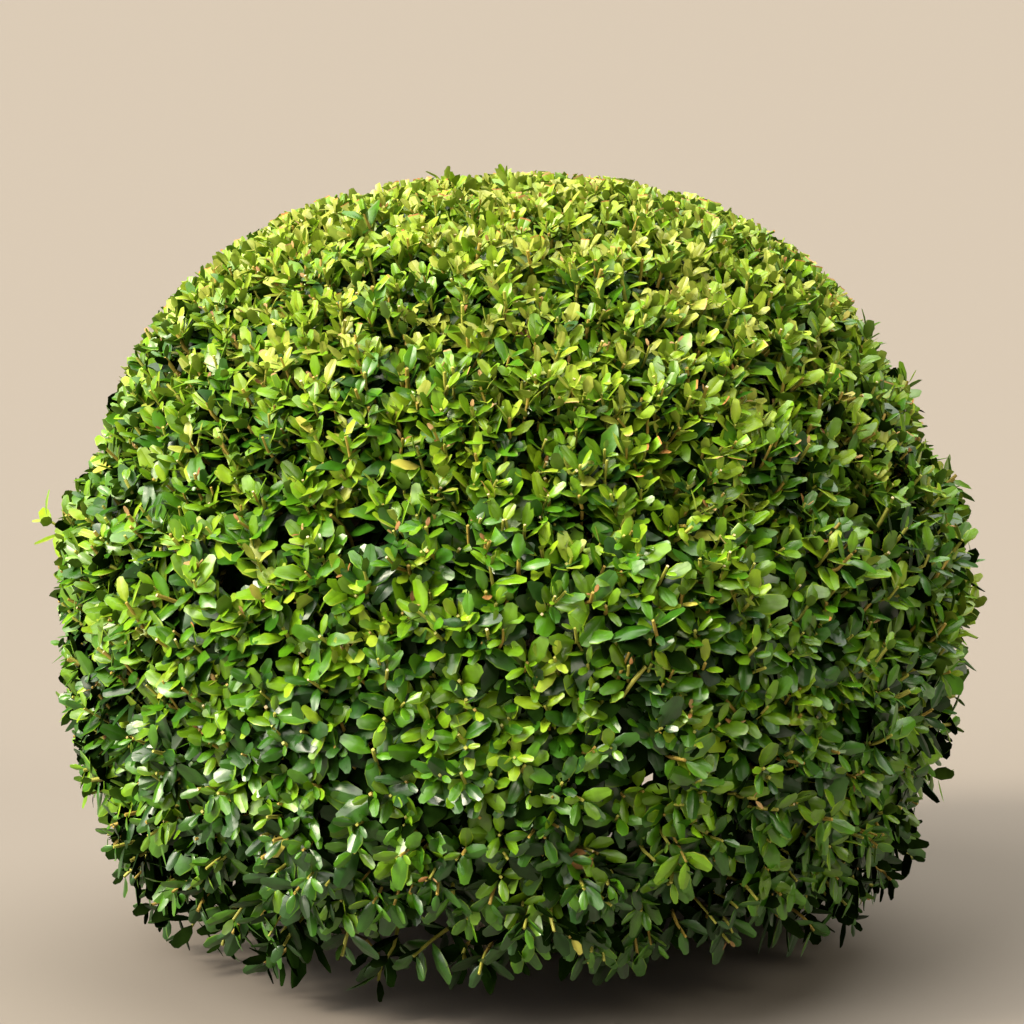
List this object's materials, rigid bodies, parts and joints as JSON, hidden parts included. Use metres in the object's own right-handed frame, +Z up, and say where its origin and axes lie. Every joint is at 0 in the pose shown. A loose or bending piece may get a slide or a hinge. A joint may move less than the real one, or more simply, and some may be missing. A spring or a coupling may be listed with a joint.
{
  "type": "clipped box ball shrub",
  "caption": "Evergreen box shrub clipped to a dense, slightly flattened ball of small leaves on a short hidden trunk rooted in the ground.",
  "frame": {"origin": "middle of the flat cut under the trunk, at ground level", "axes": "+Z up along the trunk; -Y faces the viewer of the picture; +X is to that viewer's right"},
  "size_m": [0.5309, 0.5035, 0.4419],
  "materials": {
    "foliage": "satin",
    "bark": "rough"
  },
  "bodies": {
    "root": {"trunk": "bark", "leader": "bark", "upper_bough_1": "bark", "upper_bough_2": "bark", "upper_bough_3": "bark", "upper_bough_4": "bark", "upper_bough_5": "bark", "upper_bough_6": "bark", "lower_bough_1": "bark", "lower_bough_2": "bark", "lower_bough_3": "bark", "lower_bough_4": "bark", "lower_bough_5": "bark", "lower_bough_6": "bark", "foliage_crown": "foliage", "foliage_upper_1": "foliage", "foliage_upper_2": "foliage", "foliage_upper_3": "foliage", "foliage_upper_4": "foliage", "foliage_upper_5": "foliage", "foliage_upper_6": "foliage", "foliage_lower_1": "foliage", "foliage_lower_2": "foliage", "foliage_lower_3": "foliage", "foliage_lower_4": "foliage", "foliage_lower_5": "foliage", "foliage_lower_6": "foliage"}
  },
  "joints": []
}
